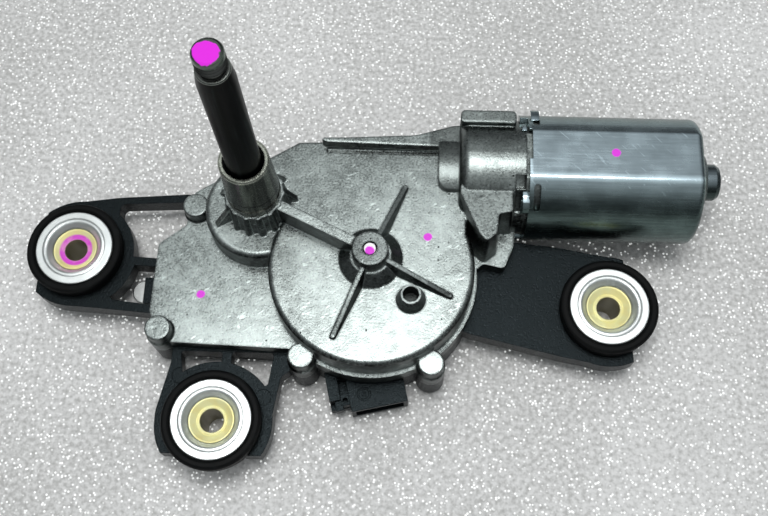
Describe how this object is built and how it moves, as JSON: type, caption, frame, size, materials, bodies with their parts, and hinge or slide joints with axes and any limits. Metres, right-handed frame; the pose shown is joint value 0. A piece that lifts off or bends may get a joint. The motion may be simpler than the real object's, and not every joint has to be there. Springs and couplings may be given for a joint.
{
  "type": "wiper motor",
  "caption": "Rear wiper motor: die-cast worm gear case with upright spindle, steel motor can and plastic bracket on rubber mounts.",
  "frame": {"origin": "centre of the front mounting bush's bore, at the mounting plane under the bush's foot", "axes": "+X along the motor shaft towards the motor's end cap, +Z along the bush bores and the wiper spindle, away from the panel"},
  "size_m": [0.2161, 0.1135, 0.1135],
  "materials": {
    "cast_aluminium": "die cast, shot blasted",
    "galvanised_steel": "galvanised sheet",
    "black_plastic": "glass-filled, moulded",
    "rubber": "matte",
    "white_zinc": "white zinc plated",
    "yellow_zinc": "yellow zinc plated",
    "black_steel": "black oxide, oiled",
    "dark_steel": "phosphated",
    "zinc_steel": "bright",
    "bronze": "sintered, oiled",
    "tinned_brass": "tinned",
    "nylon": "natural, moulded",
    "core_steel": "stacked laminations",
    "copper": "enamelled wire",
    "ferrite": "sintered, ground",
    "carbon": "pressed carbon",
    "board": "glass-epoxy laminate",
    "capacitor_blue": "dipped"
  },
  "bodies": {
    "housing": {"gear_housing": "cast_aluminium", "cover_bracket": "black_plastic", "connector_socket": "black_plastic", "connector_pins": "tinned_brass", "cover_screws": "zinc_steel", "spindle_tube": "dark_steel", "spindle_bush_lower": "bronze", "spindle_bush_upper": "bronze", "spindle_seal": "rubber", "wheel_axle_pin": "zinc_steel", "wheel_circlip": "zinc_steel", "brush_holder": "black_plastic", "brushes": "carbon", "brush_tubes": "tinned_brass", "brush_springs": "zinc_steel", "motor_can": "galvanised_steel", "magnets": "ferrite", "worm_end_bush": "bronze", "shaft_bearing": "bronze", "rear_bearing": "bronze", "thrust_pads": "nylon", "circuit_board": "board", "noise_capacitor": "capacitor_blue", "park_contacts": "tinned_brass", "breather_cap": "zinc_steel", "front_mount_grommet": "rubber", "front_mount_washer": "white_zinc", "front_mount_bush": "yellow_zinc", "left_mount_grommet": "rubber", "left_mount_washer": "white_zinc", "left_mount_bush": "yellow_zinc", "right_mount_grommet": "rubber", "right_mount_washer": "white_zinc", "right_mount_bush": "yellow_zinc"},
    "spindle": {"wiper_spindle": "black_steel", "spindle_pinion": "dark_steel", "spindle_circlip": "zinc_steel"},
    "swing_arm": {"swing_plate": "zinc_steel", "swing_pin": "zinc_steel"},
    "sector": {"sector_link": "dark_steel"},
    "wheel": {"worm_wheel": "nylon", "crank_pin": "zinc_steel", "contact_disc": "tinned_brass"},
    "armature": {"worm_shaft": "zinc_steel", "armature_core": "core_steel", "armature_windings": "copper", "commutator": "copper"}
  },
  "joints": [
    {"name": "motor_spin", "type": "hinge", "parent": "housing", "child": "armature", "pos_m": [0.118, 0.0791, 0.0195], "axis": [1, 0, 0], "continuous": true},
    {"name": "wheel_spin", "type": "hinge", "parent": "housing", "child": "wheel", "pos_m": [0.0455, 0.0477, 0.0195], "axis": [0, 0, 1], "continuous": true},
    {"name": "spindle_sweep", "type": "hinge", "parent": "housing", "child": "spindle", "pos_m": [0.0104, 0.0642, 0.05], "axis": [0, 0, 1], "range_deg": [0, 123]},
    {"name": "swing_pivot", "type": "hinge", "parent": "housing", "child": "swing_arm", "pos_m": [0.0104, 0.0642, 0.0087], "axis": [0, 0, 1], "range_deg": [0, 60.28]},
    {"name": "sector_pivot", "type": "hinge", "parent": "swing_arm", "child": "sector", "pos_m": [0.00258, 0.05024, 0.0117], "axis": [0, 0, 1], "range_deg": [-62.82, 0]}
  ],
  "couplings": [
    {"joint": "wheel_spin", "follows": "motor_spin", "ratio": 0.018519},
    {"joint": "swing_pivot", "follows": "spindle_sweep", "ratio": 0.48971},
    {"joint": "sector_pivot", "follows": "spindle_sweep", "ratio": -0.51029}
  ]
}
